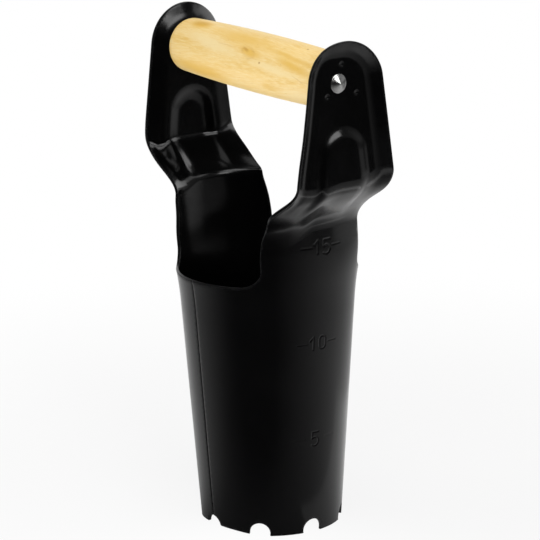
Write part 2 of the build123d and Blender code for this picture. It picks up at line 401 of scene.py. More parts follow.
def sheet_point(phi, z, side, tube, ear):
    """Point of the sheet's outer face: phi turns from the ear's middle towards the back."""
    radius = tube_radius(z, tube)
    y = radius * np.sin(phi)
    low, high = shoulder_bends(side, y, ear)
    low_bend, high_bend = bend_lengths(side, y, ear)
    turn = (bend(z - low, low_bend) - bend(z - high, high_bend)) / (high - low)
    leaning = ear.flat + ear.lip_rise * lip_share(y, z, side, tube, ear)
    fade = smooth(turn / (NEAR_EMBOSS_FADE if side > 0 else FAR_EMBOSS_FADE))
    raised = ear.emboss_rise * emboss_share(y, z, side, ear) * fade
    x = (1 - turn) * radius * np.cos(phi) + turn * leaning + raised
    return np.stack([side * x, y + pressed_aside(y, z, side, ear), z], axis=-1)


def sheet_normal(phi, z, side, tube, ear):
    """Outward normal of the sheet."""
    step = 0.00005
    aside = step / tube.band_radius
    across = sheet_point(phi + aside, z, side, tube, ear) - sheet_point(phi - aside, z, side, tube, ear)
    upwards = sheet_point(phi, z + step, side, tube, ear) - sheet_point(phi, z - step, side, tube, ear)
    normal = side * np.cross(across, upwards)
    return normal / np.linalg.norm(normal, axis=-1, keepdims=True)


# Outline of half of the sheet, laid flat as turn times the band radius against height

NOTCH_DEGREES = (-90, -45, 0, 45, 90)
NOTCH_LAST_TURN = -0.4
OUTLINE_STEP, EAR_STEP = 0.0009, 0.0006
NOTCH_POINTS, TOOTH_POINTS = 160, 24
RIM_POINTS, CORNER_POINTS, PANEL_POINTS, SHOULDER_POINTS, EAR_POINTS = 40, 24, 20, 30, 90
SEAM_POINTS = 30


def arc_points(centre, radius, start, end, count):
    """Points along an arc."""
    turns = np.linspace(start, end, count)
    return [(centre[0] + radius * math.cos(turn), centre[1] + radius * math.sin(turn)) for turn in turns]


def even_steps(points, step):
    """The same line with points an even step apart, its ends kept."""
    line = np.array(points)
    runs = np.concatenate([[0.0], np.cumsum(np.linalg.norm(np.diff(line, axis=0), axis=1))])
    count = max(2, int(math.ceil(runs[-1] / step)) + 1)
    at = np.linspace(0, runs[-1], count)
    return np.stack([np.interp(at, runs, line[:, 0]), np.interp(at, runs, line[:, 1])], axis=1)


def edge_height(phi, tube):
    """Height of the cutting edge before the notches, which climbs towards the seam."""
    start = tube.edge_radius * math.cos(math.pi / 4)
    slope = tube.seam_rise / (tube.edge_radius - start)
    return max(0.0, slope * (-tube.edge_radius * math.sin(phi) - start))


def notch_side(centre, direction, tube):
    """Points of one side of a notch from its top down to the cutting edge."""
    points = []
    for turn in np.linspace(math.pi / 2, NOTCH_LAST_TURN, NOTCH_POINTS):
        height = tube.notch_height + tube.notch_radius * math.sin(turn)
        aside = tube.notch_radius * math.cos(turn)
        phi = centre + direction * math.asin(aside / radius_at(height, tube))
        points.append((phi, height))
        if height <= edge_height(phi, tube):
            break
    return points


def seam_turn(z, tube):
    """Turn at which the sheet ends beside the seam."""
    part = min(1.0, max(0.0, z / tube.swell_top))
    gap = between(tube.seam_gap, tube.seam_gap_top, part)
    return -math.pi / 2 + gap / 2 / radius_at(z, tube)


def cutting_edge(tube):
    """Toothed edge from the seam round to the back."""
    centres = [math.radians(place) for place in NOTCH_DEGREES]
    line = []
    for first, second in zip(centres, centres[1:]):
        down = notch_side(first, 1, tube)
        up = notch_side(second, -1, tube)[::-1]
        if first == centres[0]:
            down = [point for point in down if point[0] > seam_turn(point[1], tube)]
        tooth = np.linspace(down[-1][0], up[0][0], TOOTH_POINTS)[1:-1]
        bottom = [(phi, edge_height(phi, tube)) for phi in tooth]
        line += (down if not line else down[1:]) + bottom + up
    return line


def cut_out_side(side, tube, ear):
    """Edge of a cut-out from the middle of its rim, round the corner and up the panel to the ear's foot."""
    rim, top = tube.rim_height, tube.band_top
    slope = (tube.panel_edge - tube.rim_panel_edge) / (top - rim)
    lean = math.atan(slope)
    back = tube.cut_out_corner / math.tan((math.pi / 2 + lean) / 2)
    centre = (tube.rim_panel_edge - back, rim + tube.cut_out_corner)
    corner = arc_points(centre, tube.cut_out_corner, -math.pi / 2, -lean, CORNER_POINTS)
    across = [(x, rim) for x in np.linspace(0, centre[0], RIM_POINTS)[:-1]]
    climb = np.linspace(corner[-1][1], top, PANEL_POINTS)[1:]
    upright = [(tube.rim_panel_edge + slope * (z - rim), z) for z in climb]
    flat = [(math.acos(x / radius_at(z, tube)), z) for x, z in across + corner + upright]
    heights = np.linspace(top, ear_foot(side, ear), SHOULDER_POINTS)[1:]
    widths = panel_half_width(heights, side, tube, ear)
    return flat + [(math.asin(w / tube.band_radius), z) for w, z in zip(widths, heights)]


def ear_side(side, tube, ear):
    """Edge of the ear from its foot to the middle of its round top."""
    foot = ear_foot(side, ear)
    arc = arc_points((0, ear.rod_height), ear.radius, ear.flare, math.pi / 2, EAR_POINTS)
    line = [(side_line(0.0, foot, ear), foot)] + arc
    return [(math.asin(y / tube.band_radius), z) for y, z in even_steps(line, EAR_STEP)[1:]]


def half_outline(side, tube, ear, step):
    """Closed outline of half of the sheet, and which of its points lie on the join at the back."""
    edge = cutting_edge(tube)
    join = [(math.pi / 2, z) for z in np.linspace(edge[-1][1], tube.rim_height, SEAM_POINTS)]
    back = cut_out_side(side, tube, ear) + ear_side(side, tube, ear)
    front = [(-phi, z) for phi, z in back[::-1]]
    front = [point for point in front if point[0] > seam_turn(point[1], tube)]
    front.append((seam_turn(tube.rim_height, tube), tube.rim_height))
    seam = [(seam_turn(z, tube), z) for z in np.linspace(tube.rim_height, edge[0][1], SEAM_POINTS)]
    scale = np.array([tube.band_radius, 1.0])
    lines = [even_steps(np.array(line) * scale, step)[:-1] for line in (edge, join, back, front, seam)]
    on_join = np.repeat([False, True, False, False, False], [len(line) for line in lines])
    return np.concatenate(lines), on_join


# Depth scale and punched dimples

SCALE_HEIGHTS = {"5": 0.05, "10": 0.1, "15": 0.15}
DIGIT_HALF_WIDTH, DIGIT_HALF_HEIGHT, DIGIT_PITCH = 0.0019, 0.0033, 0.0054
TICK_START, TICK_END, TICK_SHARE = 0.0062, 0.0115, 0.4
SCALE_REACH = 0.016
LOOP_POINTS, BOWL_POINTS = 13, 17
STROKE_FLOOR, STROKE_WALL = 0.25, 0.45
DIMPLE_DEGREES = (90, 210, 330)
DIMPLE_RIM_HEIGHT, DIMPLE_RIM_PLACE, DIMPLE_RIM_WIDTH = 0.08, 1.25, 0.22


def digit_lines(digit, middle, height):
    """Pen strokes of a digit as lines of points."""
    half = DIGIT_HALF_WIDTH
    left, right = middle - half, middle + half
    top, bottom = height + DIGIT_HALF_HEIGHT, height - DIGIT_HALF_HEIGHT
    if digit == "0":
        upper = arc_points((middle, top - half), half, 0, math.pi, LOOP_POINTS)
        lower = arc_points((middle, bottom + half), half, math.pi, 2 * math.pi, LOOP_POINTS)
        return [upper + lower + upper[:1]]
    if digit == "1":
        return [[(left, top - half), (middle, top), (middle, bottom)]]
    drop = (height - bottom) / 2
    reach = 2 * half
    centre_x = left + (reach * reach - drop * drop) / (2 * reach)
    radius = right - centre_x
    opening = math.asin(min(1.0, drop / radius))
    opening = opening if centre_x < left else math.pi - opening
    bowl = arc_points((centre_x, (height + bottom) / 2), radius, opening, -opening, BOWL_POINTS)
    return [[(right, top), (left, top)] + bowl]


def scale_lines():
    """Strokes of the whole depth scale, across and up, each with its share of the full depth."""
    lines = []
    for digits, height in SCALE_HEIGHTS.items():
        for place, digit in enumerate(digits):
            middle = (place - (len(digits) - 1) / 2) * DIGIT_PITCH
            lines += [(line, 1.0) for line in digit_lines(digit, middle, height)]
        for way in (-1, 1):
            lines.append(([(way * TICK_START, height), (way * TICK_END, height)], TICK_SHARE))
    return lines


def line_distance(points, starts, ends):
    """Distance of each point to the nearest of many straight runs."""
    nearest = np.full(len(points), np.inf)
    for start, end in zip(starts, ends):
        run = end - start
        part = np.clip(((points - start) @ run) / max(run @ run, 1e-18), 0, 1)
        gap = np.linalg.norm(points - start - part[:, None] * run, axis=1)
        nearest = np.minimum(nearest, gap)
    return nearest


def scale_depth(y, z, tube):
    """How deep the stamped scale is at points of the tube."""
    deep = np.zeros(len(y))
    place = np.stack([y, z], axis=1)
    near = np.abs(y) < SCALE_REACH
    for line, part in scale_lines():
        points = np.array(line)
        gap = line_distance(place[near], points[:-1], points[1:])
        wall = rise(gap, STROKE_FLOOR * tube.stroke, STROKE_WALL * tube.stroke)
        deep[near] = np.maximum(deep[near], part * tube.mark_depth * (1 - wall))
    return deep


def dimple_places(ear):
    """Centres of the punched dimples on an ear, across and up."""
    turns = [math.radians(place) for place in DIMPLE_DEGREES]
    ring, middle = ear.dimple_ring, ear.rod_height - ear.dimple_drop
    return [(ring * math.cos(turn), middle + ring * math.sin(turn)) for turn in turns]


def dimple_depth(y, z, ear):
    """How deep the dimples are at points of an ear, with a slight raised rim."""
    deep = np.zeros(len(y))
    for across, up in dimple_places(ear):
        gap = np.hypot(y - across, z - up) / ear.dimple_radius
        rim = hump(gap, DIMPLE_RIM_PLACE, DIMPLE_RIM_WIDTH, DIMPLE_RIM_HEIGHT * ear.dimple_depth)
        deep += ear.dimple_depth * np.clip(1 - gap, 0, 1) - rim
    return deep


# Filling the outline with points and triangles

FINE_STEP, UPPER_STEP, TUBE_STEP, INNER_STEP = 0.00034, 0.0009, 0.0018, 0.0026
UPPER_HALF_WIDTH, UPPER_FOOT = 0.034, 0.1565
DIMPLE_BOX = (0.0022, 0.0022)
SCALE_BOX = (0.0175, 0.0046)
RIM_CLEARANCE = 0.75
ROW_SHARE = math.sqrt(0.75)
MILLIMETRES = 1000
FILL_INSIDE, FILL_NEARNESS = 1, 1e-7


def inside(points, outline):
    """Which points lie inside a closed outline."""
    held = np.zeros(len(points), bool)
    ends = np.roll(outline, -1, axis=0)
    for (ax, az), (bx, bz) in zip(outline, ends):
        if az == bz:
            continue
        crosses = (az > points[:, 1]) != (bz > points[:, 1])
        held ^= crosses & (points[:, 0] < (bx - ax) * (points[:, 1] - az) / (bz - az) + ax)
    return held


def box_round(y, z, half_width, half_height):
    """Box round a centre: left, bottom, right and top."""
    return (y - half_width, z - half_height, y + half_width, z + half_height)


def staggered(box, step):
    """Points of a staggered grid in a box."""
    rows = np.arange(box[1], box[3], step * ROW_SHARE)
    points = []
    for number, row in enumerate(rows):
        start = box[0] + (step / 2 if number % 2 else 0)
        across = np.arange(start, box[2], step)
        points.append(np.stack([across, np.full(len(across), row)], axis=1))
    return np.concatenate(points)


def in_boxes(points, boxes):
    """Which points lie in any of the boxes."""
    held = np.zeros(len(points), bool)
    y, z = points[:, 0], points[:, 1]
    for left, low, right, high in boxes:
        held |= (y > left) & (y < right) & (z > low) & (z < high)
    return held


def filled(outline, hole, layers):
    """Triangles that fill an outline: layers pair a step with the boxes that it fills, finest first."""
    rims = [outline, hole]
    starts = np.concatenate(rims)
    ends = np.concatenate([np.roll(rim, -1, axis=0) for rim in rims])
    taken, inner = [], []
    for step, boxes in layers:
        points = np.concatenate([staggered(box, step) for box in boxes])
        points = points[~in_boxes(points, taken)]
        points = points[inside(points, outline) & ~inside(points, hole)]
        inner.append(points[line_distance(points, starts, ends) > RIM_CLEARANCE * step])
        margin = step / 2
        taken += [(box[0] - margin, box[1] - margin, box[2] + margin, box[3] + margin) for box in boxes]
    points = np.concatenate(rims + inner) * MILLIMETRES
    spans = [(0, len(outline)), (len(outline), len(hole))]
    edges = [(first + at, first + (at + 1) % count) for first, count in spans for at in range(count)]
    corners = [Vector(point) for point in points]
    found = geometry.delaunay_2d_cdt(corners, edges, [], FILL_INSIDE, FILL_NEARNESS)
    place = {source: at for at, sources in enumerate(found[3]) for source in sources}
    flat = np.array([tuple(vert) for vert in found[0]]) / MILLIMETRES
    triangles = np.array(found[2])
    triangles = triangles[~inside(flat[triangles].mean(axis=1), hole)]
    return flat, triangles, [np.array([place[first + at] for at in range(count)]) for first, count in spans]


# Skins and cut edges of the sheet

HOLE_POINTS = 32
EAR_START = 0.2
SQUARE_CUT = (0.172, 0.016)
WEAR_REACH = 0.0012
# Points over a rounded cut edge: how far back and how far down, as shares of the rounding
UPPER_CORNER = ((0.3, 0.3), (0.0, 1.0))


def rivet_hole(tube, ear):
    """Outline of the hole for the rivet, laid flat like the sheet."""
    turns = np.linspace(0, 2 * math.pi, HOLE_POINTS + 1)[:-1]
    y, z = ear.hole_radius * np.cos(turns), ear.rod_height + ear.hole_radius * np.sin(turns)
    return np.stack([tube.band_radius * np.arcsin(y / tube.band_radius), z], axis=1)


def skin_layers(side, tube, ear):
    """Steps and boxes that fill the outer skin, and those that fill the inner one."""
    fine = [box_round(y, z, *DIMPLE_BOX) for y, z in dimple_places(ear)]
    if side > 0:
        fine += [box_round(0, height, *SCALE_BOX) for height in SCALE_HEIGHTS.values()]
    wide = tube.band_radius * math.pi / 2
    upper = (-UPPER_HALF_WIDTH, UPPER_FOOT, UPPER_HALF_WIDTH, ear.rod_height + ear.radius)
    whole = (-wide, 0.0, wide, UPPER_FOOT)
    outer = [(FINE_STEP, fine), (UPPER_STEP, [upper]), (TUBE_STEP, [whole])]
    return outer, [(UPPER_STEP, [upper]), (INNER_STEP, [whole])]


def outer_skin(phi, z, side, tube, ear):
    """Points and normals of the outer skin, with its stamped scale and punched dimples."""
    place = sheet_point(phi, z, side, tube, ear)
    normal = sheet_normal(phi, z, side, tube, ear)
    deep = dimple_depth(place[:, 1], z, ear) * (z > EAR_START)
    if side > 0:
        deep = deep + scale_depth(place[:, 1], z, tube)
    return place - normal * deep[:, None], normal


def inner_skin(phi, z, side, tube, ear):
    """Points and normals of the inner skin; an ear's cut edge is square to the ear's flat."""
    aside = sheet_normal(phi, z, side, tube, ear) * tube.sheet * rise(z, *SQUARE_CUT)[:, None]
    phi = np.arcsin(np.clip(np.sin(phi) + aside[:, 1] / tube_radius(z, tube), -1, 1))
    z = z + aside[:, 2]
    normal = sheet_normal(phi, z, side, tube, ear)
    return sheet_point(phi, z, side, tube, ear) - normal * tube.sheet, normal


def out_of_edge(loop, normal, side):
    """Directions that point out of the sheet at the points of its cut edge."""
    along = np.roll(loop, -1, axis=0) - np.roll(loop, 1, axis=0)
    across = side * np.cross(along, normal)
    return across / np.linalg.norm(across, axis=1, keepdims=True)


def sheet_half(side, tube, ear):
    """Points, faces and nearness to an edge of half of the blade: outer skin, inner skin and cut edges."""
    outline, on_join = half_outline(side, tube, ear, OUTLINE_STEP)
    hole = rivet_hole(tube, ear)
    points, faces, edge_marks, skins, first = [], [], [], [], 0
    for layers, skin in zip(skin_layers(side, tube, ear), (outer_skin, inner_skin)):
        flat, triangles, rims = filled(outline, hole, layers)
        place, normal = skin(flat[:, 0] / tube.band_radius, flat[:, 1], side, tube, ear)
        gap = line_distance(flat, outline, np.roll(outline, -1, axis=0))
        order = triangles if (side > 0) == (skin is outer_skin) else triangles[:, ::-1]
        faces += (order + first).tolist()
        points.append(place)
        edge_marks.append(np.exp(-gap / WEAR_REACH))
        skins.append((place, normal, rims, first))
        first += len(place)
    (outer, normal, outer_rims, outer_first), (inner, _, inner_rims, inner_first) = skins
    # Cut edges round the outline and round the hole, with their corners rounded
    corner = tube.edge_round
    lower_corner = [(back, -down) for back, down in reversed(UPPER_CORNER)]
    for outer_rim, inner_rim, is_hole in zip(outer_rims, inner_rims, (False, True)):
        loop = outer[outer_rim]
        through = inner[inner_rim] - loop
        across = out_of_edge(loop, normal[outer_rim], side)
        if is_hole:
            across = -across
            kept = np.ones(len(loop), bool)
        else:
            across[on_join | np.roll(on_join, 1)] = 0
            kept = ~on_join
        outer[outer_rim] -= across * corner
        inner[inner_rim] -= across * corner
        rows = [outer_first + outer_rim]
        for back, down in (*UPPER_CORNER, *lower_corner):
            depth = down * corner if down > 0 else tube.sheet + down * corner
            points.append(loop - across * corner * back + through * (depth / tube.sheet))
            edge_marks.append(np.ones(len(loop)))
            rows.append(first + np.arange(len(loop)))
            first += len(loop)
        rows.append(inner_first + inner_rim)
        for upper, lower in zip(rows, rows[1:]):
            quads = np.stack([upper, lower, np.roll(lower, -1), np.roll(upper, -1)], axis=1)[kept]
            faces += (quads[:, ::-1] if (side > 0) == is_hole else quads).tolist()
    return np.concatenate(points), faces, np.concatenate(edge_marks)


# Meshes

WELD_STEP = 1e-6
ON_AXIS = 1e-7


def new_piece(name, points, faces, edge_marks, material, slot, node):
    """Object from points and faces, smooth, riding on the frame in place of a CAD node."""
    mesh = bpy.data.meshes.new(name)
    mesh.from_pydata([tuple(point) for point in points], [], faces)
    mark = mesh.attributes.new("edge", "FLOAT", "POINT")
    mark.data.foreach_set("value", np.asarray(edge_marks, np.float32))
    mesh.validate()
    mesh.polygons.foreach_set("use_smooth", [True] * len(mesh.polygons))
    mesh.materials.append(material)
    mesh.update()
    piece = bpy.data.objects.new(name, mesh)
    bpy.context.scene.collection.objects.link(piece)
    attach(piece, "root")
    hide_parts(node)
    return piece


def without_repeats(corners):
    """Corners of a face with each that repeats the one before it left out."""
    return [at for number, at in enumerate(corners) if at != corners[number - 1]]


def welded(points, faces, edge_marks):
    """The same mesh with points that share a place made one."""
    keys = np.round(points / WELD_STEP).astype(np.int64)
    _, first, back = np.unique(keys, axis=0, return_index=True, return_inverse=True)
    back = back.reshape(-1)
    merged = [without_repeats([int(back[at]) for at in face]) for face in faces]
    return points[first], [face for face in merged if len(face) > 2], edge_marks[first]


def turned(profile, edge_marks, segments, height):
    """Mesh of a profile turned round the handle's axis: (x, radius), closed on itself or on the axis."""
    points, faces, marks, rows = [], [], [], []
    for (x, radius), mark in zip(profile, edge_marks):
        if radius < ON_AXIS:
            rows.append([len(points)] * segments)
            points.append((x, 0.0, height))
            marks.append(mark)
            continue
        rows.append(list(range(len(points), len(points) + segments)))
        for number in range(segments):
            turn = 2 * math.pi * number / segments
            points.append((x, radius * math.cos(turn), height + radius * math.sin(turn)))
            marks.append(mark)
    closed = profile[0][1] > ON_AXIS
    pairs = list(zip(rows, rows[1:])) + ([(rows[-1], rows[0])] if closed else [])
    for row, following in pairs:
        for number in range(segments):
            after = (number + 1) % segments
            faces.append(without_repeats([row[number], row[after], following[after], following[number]]))
    return np.array(points), faces, np.array(marks)


# Shader groups and materials


class Wiring:
    """Short calls that add nodes to one tree; a value is a socket, a number, a vector or a colour."""

    def __init__(self, tree):
        """Keep the tree."""
        self.tree = tree

    def feed(self, socket, value):
        """Link a socket to another, or give it a plain value."""
        if isinstance(value, bpy.types.NodeSocket):
            self.tree.links.new(value, socket)
        elif socket.type == "RGBA" and len(value) == 3:
            socket.default_value = (*value, 1.0)
        else:
            socket.default_value = value

    def add(self, kind, values=None, **options):
        """Node with its options set and its input sockets fed."""
        node = self.tree.nodes.new(kind)
        for option, value in options.items():
            setattr(node, option, value)
        for socket, value in (values or {}).items():
            self.feed(node.inputs[socket], value)
        return node

    def math(self, operation, first, second, clamp=False):
        """Result of a sum, a product or the like."""
        node = self.add("ShaderNodeMath", {0: first, 1: second}, operation=operation, use_clamp=clamp)
        return node.outputs[0]

    def plus(self, first, second, clamp=False):
        """Sum."""
        return self.math("ADD", first, second, clamp)

    def minus(self, first, second, clamp=False):
        """Difference."""
        return self.math("SUBTRACT", first, second, clamp)

    def times(self, first, second, clamp=False):
        """Product."""
        return self.math("MULTIPLY", first, second, clamp)

    def most(self, first, second):
        """The larger of two."""
        return self.math("MAXIMUM", first, second)

    def ranged(self, value, low, high, new_low, new_high, soft=False):
        """Value moved from one range to another and held inside it."""
        values = {0: value, 1: low, 2: high, 3: new_low, 4: new_high}
        kind = "SMOOTHSTEP" if soft else "LINEAR"
        return self.add("ShaderNodeMapRange", values, interpolation_type=kind).outputs[0]

    def mixed(self, part, first, second):
        """Mix of two colours."""
        return self.add("ShaderNodeMix", {0: part, 6: first, 7: second}, data_type="RGBA").outputs[2]

    def noise(self, vector, scale, detail, rough=0.55, distortion=0.0):
        """Value of a noise texture on a vector."""
        values = {"Vector": vector, "Scale": scale, "Detail": detail, "Roughness": rough}
        return self.add("ShaderNodeTexNoise", {**values, "Distortion": distortion}).outputs["Fac"]

    def stretched(self, vector, scale, turn=(0, 0, 0)):
        """Vector scaled and turned."""
        return self.add("ShaderNodeMapping", {"Vector": vector, "Scale": scale, "Rotation": turn}).outputs[0]

    def distance(self, vector):
        """Length of a vector."""
        return self.add("ShaderNodeVectorMath", {0: vector}, operation="LENGTH").outputs["Value"]

    def split(self, vector):
        """The three parts of a vector."""
        return self.add("ShaderNodeSeparateXYZ", {0: vector}).outputs

    def bumped(self, height, strength, distance, before=None):
        """Normal with a height laid over it."""
        values = {"Height": height, "Strength": strength, "Distance": distance}
        if before is not None:
            values["Normal"] = before
        return self.add("ShaderNodeBump", values).outputs[0]

    def group(self, name, maker, values):
        """Outputs of a shader group, which is made the first time it is asked for."""
        tree = bpy.data.node_groups.get(name) or maker(name)
        return self.add("ShaderNodeGroup", values, node_tree=tree).outputs


def new_group(name, inputs, outputs):
    """Wiring of an empty shader group, its input values and its output sockets."""
    tree = bpy.data.node_groups.new(name, "ShaderNodeTree")
    tree.interface.new_socket("Vector", in_out="INPUT", socket_type="NodeSocketVector")
    for label, value in inputs.items():
        socket = tree.interface.new_socket(label, in_out="INPUT", socket_type="NodeSocketFloat")
        socket.default_value = value
    for label in outputs:
        tree.interface.new_socket(label, in_out="OUTPUT", socket_type="NodeSocketFloat")
    start, end = tree.nodes.new("NodeGroupInput"), tree.nodes.new("NodeGroupOutput")
    return Wiring(tree), start.outputs, end.inputs


def mottle_group(name):
    """Soft blotches over fine speckle, for colour and roughness that drift over a surface."""
    wires, given, ends = new_group(name, {"Scale": 40.0, "Speckle": 0.35}, ("Blotch", "Grain", "Both"))
    vector, scale, speckle = given[:3]
    blotch = wires.noise(vector, scale, 4.0, 0.6, 0.4)
    grain = wires.noise(vector, wires.times(scale, 22.0), 2.0, 0.5)
    wide = wires.ranged(blotch, 0.3, 0.7, 0.0, 1.0, True)
    small = wires.ranged(grain, 0.35, 0.65, 0.0, 1.0)
    both = wires.plus(wires.times(wires.minus(small, wide), speckle), wide, True)
    for number, value in enumerate((wide, small, both)):
        wires.feed(ends[number], value)
    return wires.tree


def edge_wear_group(name):
    """Mask that is strong on cut edges and broken up by scuffs."""
    wires, given, ends = new_group(name, {"Scuff Scale": 300.0, "Reach": 0.5}, ("Mask", "Edge"))
    vector, scale, reach = given[:3]
    near = wires.add("ShaderNodeAttribute", attribute_name="edge").outputs["Fac"]
    scuff = wires.noise(vector, scale, 5.0, 0.65)
    broken = wires.plus(near, wires.minus(scuff, 0.5))
    mask = wires.minus(broken, wires.minus(1.0, reach))
    wires.feed(ends[0], wires.times(mask, 2.5, True))
    wires.feed(ends[1], near)
    return wires.tree


def new_material(name):
    """Material with the wiring of its tree, its shader's sockets and object coordinates."""
    material = bpy.data.materials.new(name)
    material.use_nodes = True
    wires = Wiring(material.node_tree)
    shader = material.node_tree.nodes["Principled BSDF"].inputs
    return material, wires, shader, wires.add("ShaderNodeTexCoord").outputs["Object"]


def mottle_in(wires, place, scale, speckle):
    """Outputs of the mottle group placed in a material."""
    values = {"Vector": place, "Scale": scale, "Speckle": speckle}
    return wires.group("surface_mottle", mottle_group, values)


def wear_in(wires, place, scale, reach):
    """Mask of the edge wear group placed in a material."""
    values = {"Vector": place, "Scuff Scale": scale, "Reach": reach}
    return wires.group("edge_wear", edge_wear_group, values)["Mask"]


def black_paint():
    """Dipped black gloss paint: slight orange peel, drifting gloss, thin on the cut edges."""
    finish = settings().finish
    material, wires, shader, place = new_material("black_gloss_paint")
    mottle = mottle_in(wires, place, 28.0, 0.4)
    worn = wear_in(wires, place, 420.0, 0.45)
    lighter = tuple(min(1.0, 1.9 * part) for part in finish.paint)
    base = wires.mixed(mottle["Both"], finish.paint, lighter)
    base = wires.mixed(wires.times(worn, 0.8), base, finish.paint_thin)
    wires.feed(shader["Base Color"], base)
    gloss = wires.ranged(mottle["Both"], 0.0, 1.0, 0.14, 0.22)
    wires.feed(shader["Roughness"], wires.plus(gloss, wires.times(worn, 0.12)))
    peel = wires.bumped(wires.noise(place, 420.0, 2.0), 0.02, 0.0004)
    wires.feed(shader["Normal"], wires.bumped(mottle["Grain"], 0.012, 0.0002, peel))
    shader["IOR"].default_value = 1.48
    return material


# Marks of this handle's wood, unrolled: centre along and round, half length and half width, turn, strength
AMBER_MARKS = (
    ((-0.046, 0.019), (0.0125, 0.0052), 0.0, 1.0),
    ((-0.004, 0.0155), (0.036, 0.0062), -0.054, 0.6),
    ((0.039, 0.0116), (0.028, 0.0022), -0.083, 0.7),
    ((0.043, 0.0072), (0.022, 0.0036), -0.166, 0.75),
    ((-0.036, -0.0085), (0.038, 0.0072), -0.044, 0.8),
    ((0.006, 0.0086), (0.014, 0.0036), -0.145, 0.8),
    ((0.0234, -0.007), (0.008, 0.0032), 0.0, 0.5),
    ((-0.03, -0.024), (0.03, 0.004), 0.04, 0.6),
    ((0.03, -0.03), (0.034, 0.0034), -0.06, 0.6),
    ((-0.01, 0.036), (0.045, 0.004), 0.03, 0.6),
    ((0.02, 0.044), (0.03, 0.003), -0.05, 0.6),
)
# Pale marks: the first two, along the middle of the handle's face towards the camera, are a painted
# highlight stripe; the other two are pale wood.
PALE_GRAIN_AND_HIGHLIGHT_MARKS = (
    ((-0.026, 0.0084), (0.034, 0.005), -0.106, 0.85),
    ((0.03, 0.0028), (0.034, 0.0036), -0.09, 0.85),
    ((0.046, -0.0085), (0.022, 0.007), -0.05, 0.6),
    ((-0.02, 0.027), (0.05, 0.005), 0.02, 0.6),
)
DARK_MARKS = (
    ((-0.047, 0.0196), (0.0095, 0.0032), 0.0, 0.25),
    ((0.0026, 0.0098), (0.004, 0.0011), -0.25, 0.5),
    ((0.0167, 0.0043), (0.0011, 0.0007), 0.0, 0.8),
    ((0.043, 0.0201), (0.0012, 0.0009), 0.0, 0.75),
    ((0.0485, 0.0006), (0.0068, 0.0005), -0.3, 0.3),
    ((-0.015, 0.0101), (0.0115, 0.0006), -0.03, 0.14),
)
KNOT_RING = ((0.0054, 0.0085), (0.0074, 0.0034), -0.22)
KNOT_STRENGTH = 0.28
# Mean radius at which the barrel's face is unrolled, and how far its streaks wander round it
UNROLL_RADIUS, STREAK_WANDER = 0.0152, 0.0042


def patch(wires, place, centre, size, turn, core):
    """Soft long patch in the unrolled face of the handle: 1 in its core, 0 outside."""
    values = {"Location": (*centre, 0.0), "Rotation": (0.0, 0.0, turn), "Scale": (*size, 1.0)}
    inner = wires.add("ShaderNodeMapping", {"Vector": place, **values}, vector_type="TEXTURE").outputs[0]
    return wires.ranged(wires.distance(inner), core, 1.0, 1.0, 0.0, True)


def unrolled_face(wires, place):
    """Face of the barrel unrolled: along the handle, and round it from the front upwards."""
    along, across, height = wires.split(place)
    up = wires.minus(height, settings().ear.rod_height)
    around = wires.times(wires.math("ARCTAN2", up, wires.times(across, -1.0)), UNROLL_RADIUS)
    warp = wires.noise(wires.stretched(place, (45.0, 160.0, 160.0)), 1.0, 4.0, 0.6)
    around = wires.plus(around, wires.times(wires.minus(warp, 0.5), STREAK_WANDER))
    return wires.add("ShaderNodeCombineXYZ", {0: along, 1: around}).outputs[0]


def pale_wood():
    """Turned pale wood: amber streaks and pale bands along the handle, one small knot, a thin lacquer; the
    pale band along the middle of the face towards the camera is a painted highlight.
    """
    finish = settings().finish
    material, wires, shader, place = new_material("pale_turned_wood")
    face = unrolled_face(wires, place)
    # Fine grain, which runs slightly askew to the handle
    askew = wires.stretched(place, (1.0, 1.0, 1.0), (0.0, 0.07, 0.1))
    streak = wires.noise(wires.stretched(askew, (16.0, 260.0, 260.0)), 1.0, 4.0, 0.6)
    streak = wires.ranged(streak, 0.4, 0.7, 0.0, 1.0, True)
    fibre = wires.noise(wires.stretched(askew, (70.0, 1500.0, 1500.0)), 1.0, 3.0, 0.6)
    pores = wires.noise(wires.stretched(askew, (240.0, 1900.0, 1900.0)), 1.0, 2.0, 0.5)
    base = wires.mixed(wires.times(streak, 0.5), finish.wood, finish.wood_amber)
    base = wires.mixed(wires.ranged(fibre, 0.4, 0.72, 0.0, 0.75), base, finish.wood_pale_and_highlight)
    # The pale marks lay down pale wood and the painted highlight stripe along the handle's middle.
    for marks, tint in ((PALE_GRAIN_AND_HIGHLIGHT_MARKS, "wood_pale_and_highlight"), (AMBER_MARKS, "wood_amber"), (DARK_MARKS, "knot")):
        for centre, size, turn, strength in marks:
            part = wires.times(patch(wires, face, centre, size, turn, 0.15), strength)
            if tint == "wood_amber":
                part = wires.times(part, wires.ranged(fibre, 0.3, 0.7, 0.75, 1.1), True)
            base = wires.mixed(part, base, getattr(finish, tint))
    # Ring of the knot, open pores and handled ends
    ring = wires.minus(patch(wires, face, *KNOT_RING, 0.7), patch(wires, face, *KNOT_RING, 0.3), True)
    ring = wires.times(ring, wires.ranged(streak, 0.2, 0.8, 0.4, 1.6))
    base = wires.mixed(wires.times(ring, KNOT_STRENGTH, True), base, finish.knot)
    base = wires.mixed(wires.ranged(pores, 0.66, 0.78, 0.0, 0.35), base, finish.knot)
    worn = wear_in(wires, place, 260.0, 0.4)
    wires.feed(shader["Base Color"], wires.mixed(wires.times(worn, 0.3), base, finish.wood_amber))
    mottle = mottle_in(wires, place, 60.0, 0.4)
    wires.feed(shader["Roughness"], wires.ranged(mottle["Both"], 0.0, 1.0, 0.42, 0.56))
    normal = wires.bumped(streak, 0.06, 0.0002, wires.bumped(fibre, 0.12, 0.0003))
    wires.feed(shader["Normal"], normal)
    shader["Specular IOR Level"].default_value = 0.3
    return material


